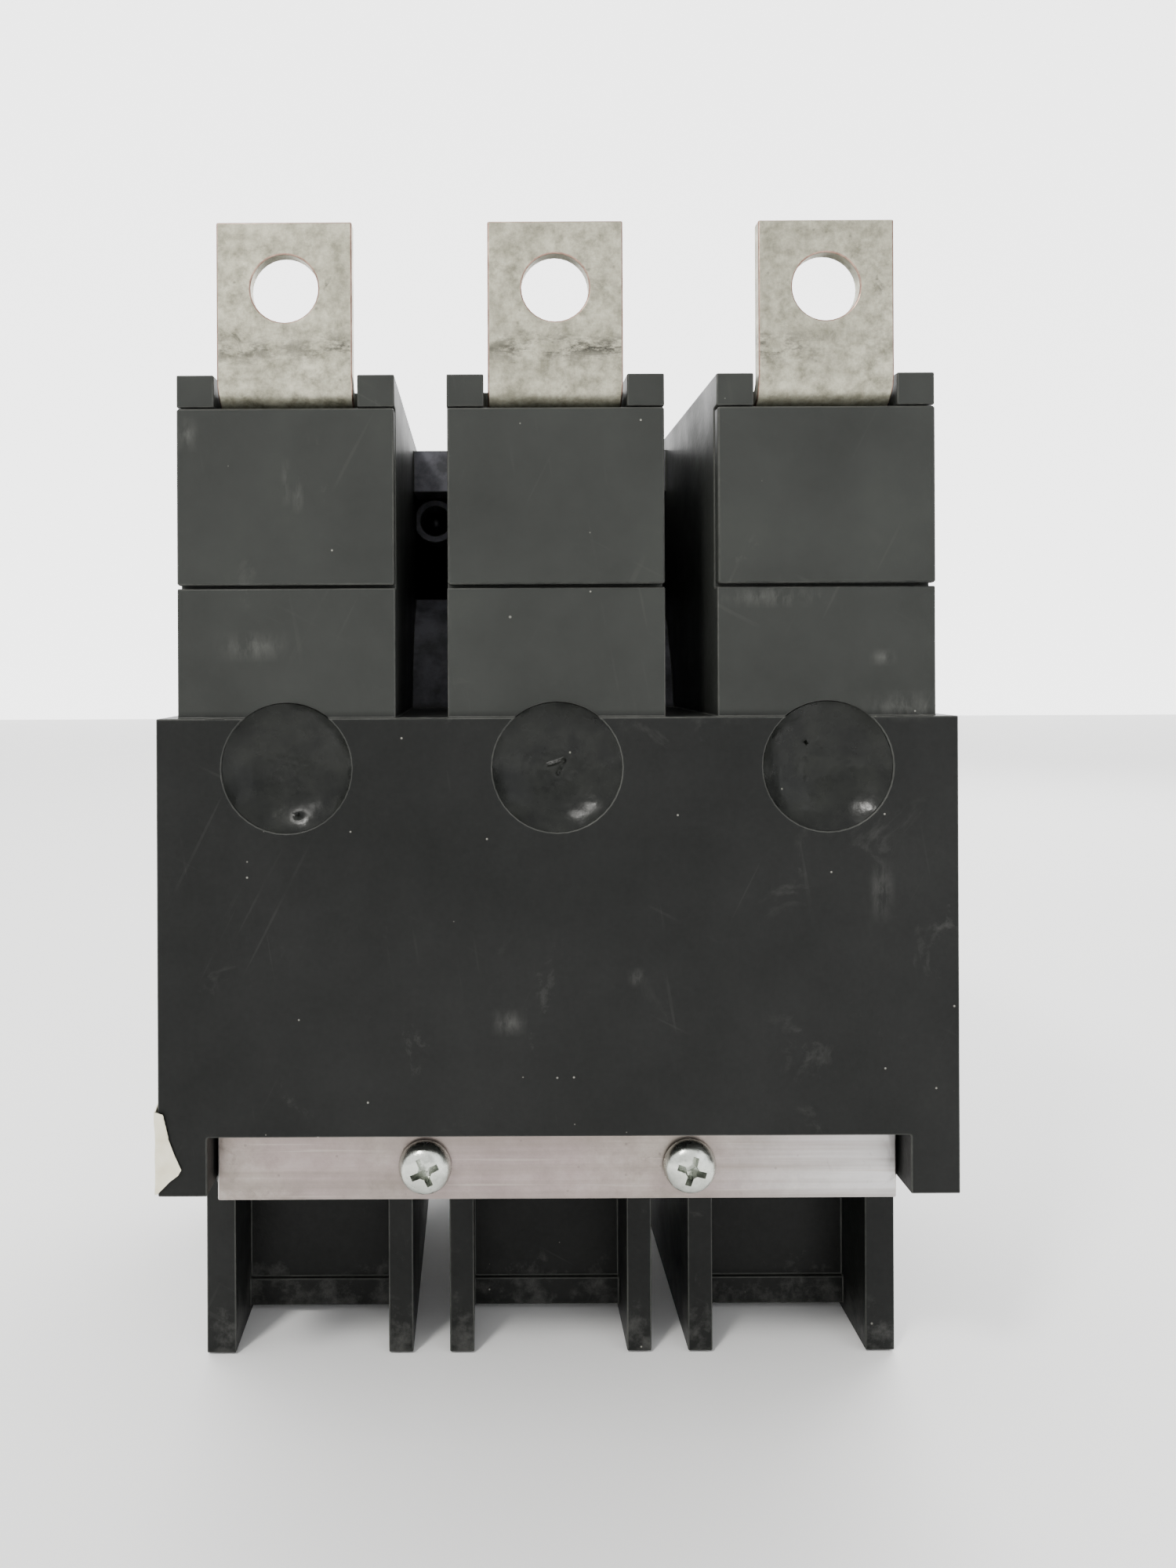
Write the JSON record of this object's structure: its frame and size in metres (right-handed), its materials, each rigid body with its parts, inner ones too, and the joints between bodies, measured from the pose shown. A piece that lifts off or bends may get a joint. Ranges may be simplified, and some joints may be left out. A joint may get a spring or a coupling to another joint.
{
  "type": "molded case circuit breaker",
  "caption": "Bolt-on molded case circuit breaker with bus tabs, a metal rear bar, wire lugs, a toggle handle and its switching and trip mechanism.",
  "frame": {"origin": "middle of the flat rear mounting band, on the middle pole's centre line", "axes": "+Z towards the line end and its tabs, +Y towards the operator's side with the toggle, +X to the right seen from the rear"},
  "size_m": [0.0752, 0.0828, 0.1148],
  "materials": {
    "thermoset_black": "satin, slightly mottled",
    "handle_black": "satin",
    "potting_compound": "glossy",
    "tinned_copper": "dull tin plating",
    "zinc_steel": "brushed zinc plating",
    "screw_steel": "bright zinc plating",
    "copper": "bare copper",
    "silver_alloy": "satin",
    "bimetal": "satin",
    "spring_steel": "satin",
    "arc_plate": "dull plate",
    "lug_aluminium": "satin"
  },
  "bodies": {
    "housing": {"rear_case": "thermoset_black", "front_cover": "thermoset_black", "rear_panel_1": "thermoset_black", "rear_panel_2": "thermoset_black", "rear_panel_3": "thermoset_black", "well_seal_1": "potting_compound", "well_seal_2": "potting_compound", "well_seal_3": "potting_compound", "mounting_bar": "zinc_steel", "bar_screw_1": "screw_steel", "bar_screw_2": "screw_steel", "case_screw_1": "screw_steel", "case_screw_2": "screw_steel", "case_screw_3": "screw_steel", "case_screw_4": "screw_steel", "line_strap_1": "tinned_copper", "line_strap_2": "tinned_copper", "line_strap_3": "tinned_copper", "fixed_contact_1": "silver_alloy", "fixed_contact_2": "silver_alloy", "fixed_contact_3": "silver_alloy", "arc_chute_1": "arc_plate", "arc_chute_2": "arc_plate", "arc_chute_3": "arc_plate", "braid_1": "copper", "braid_2": "copper", "braid_3": "copper", "magnet_yoke_1": "spring_steel", "magnet_yoke_2": "spring_steel", "magnet_yoke_3": "spring_steel", "bimetal_1": "bimetal", "bimetal_2": "bimetal", "bimetal_3": "bimetal", "load_strap_1": "tinned_copper", "load_strap_2": "tinned_copper", "load_strap_3": "tinned_copper", "wire_lug_1": "lug_aluminium", "wire_lug_2": "lug_aluminium", "wire_lug_3": "lug_aluminium", "mechanism_plate_left": "zinc_steel", "mechanism_plate_right": "zinc_steel", "handle_pin": "spring_steel", "main_spring_1": "spring_steel", "main_spring_2": "spring_steel"},
    "toggle": {"toggle_handle": "handle_black"},
    "contact_set": {"crossbar": "thermoset_black", "contact_arm_1": "copper", "contact_arm_2": "copper", "contact_arm_3": "copper", "moving_contact_1": "silver_alloy", "moving_contact_2": "silver_alloy", "moving_contact_3": "silver_alloy", "drive_pin": "spring_steel"},
    "cradle_lever": {"cradle": "spring_steel"},
    "upper_toggle_link": {"upper_link": "zinc_steel"},
    "lower_toggle_link": {"lower_link": "zinc_steel"},
    "trip_shaft": {"trip_bar": "thermoset_black"},
    "clamp_screw_1": {"lug_screw_1": "screw_steel"},
    "clamp_screw_2": {"lug_screw_2": "screw_steel"},
    "clamp_screw_3": {"lug_screw_3": "screw_steel"}
  },
  "joints": [
    {"name": "toggle_pivot", "type": "hinge", "parent": "housing", "child": "toggle", "pos_m": [0, 0.056, 0.005], "axis": [1, 0, 0], "range_deg": [0, 46]},
    {"name": "crossbar_pivot", "type": "hinge", "parent": "housing", "child": "contact_set", "pos_m": [0, 0.024, 0.01], "axis": [1, 0, 0], "range_deg": [0, 30]},
    {"name": "trip_bar_pivot", "type": "hinge", "parent": "housing", "child": "trip_shaft", "pos_m": [0, 0.036, -0.008], "axis": [1, 0, 0], "range_deg": [-8, 0], "stiffness_Nm_per_rad": 0.02, "springref_deg": 5.73},
    {"name": "cradle_pivot", "type": "hinge", "parent": "housing", "child": "cradle_lever", "pos_m": [0, 0.034, 0.016], "axis": [1, 0, 0], "range_deg": [0, 8]},
    {"name": "upper_link_pivot", "type": "hinge", "parent": "cradle_lever", "child": "upper_toggle_link", "pos_m": [0, 0.037, 0.011], "axis": [1, 0, 0], "range_deg": [-30, 0]},
    {"name": "knee_pivot", "type": "hinge", "parent": "upper_toggle_link", "child": "lower_toggle_link", "pos_m": [0, 0.04, 0.003], "axis": [1, 0, 0], "range_deg": [-5, 0]},
    {"name": "clamp_screw_turn_1", "type": "hinge", "parent": "housing", "child": "clamp_screw_1", "pos_m": [-0.0254, 0.045, -0.036], "axis": [0, 1, 0], "continuous": true},
    {"name": "clamp_screw_turn_2", "type": "hinge", "parent": "housing", "child": "clamp_screw_2", "pos_m": [0, 0.045, -0.036], "axis": [0, 1, 0], "continuous": true},
    {"name": "clamp_screw_turn_3", "type": "hinge", "parent": "housing", "child": "clamp_screw_3", "pos_m": [0.0254, 0.045, -0.036], "axis": [0, 1, 0], "continuous": true}
  ],
  "couplings": [
    {"joint": "crossbar_pivot", "follows": "toggle_pivot", "ratio": 0.652},
    {"joint": "upper_link_pivot", "follows": "toggle_pivot", "ratio": -0.641},
    {"joint": "knee_pivot", "follows": "toggle_pivot", "ratio": -0.105},
    {"joint": "cradle_pivot", "follows": "trip_bar_pivot", "ratio": -1}
  ]
}
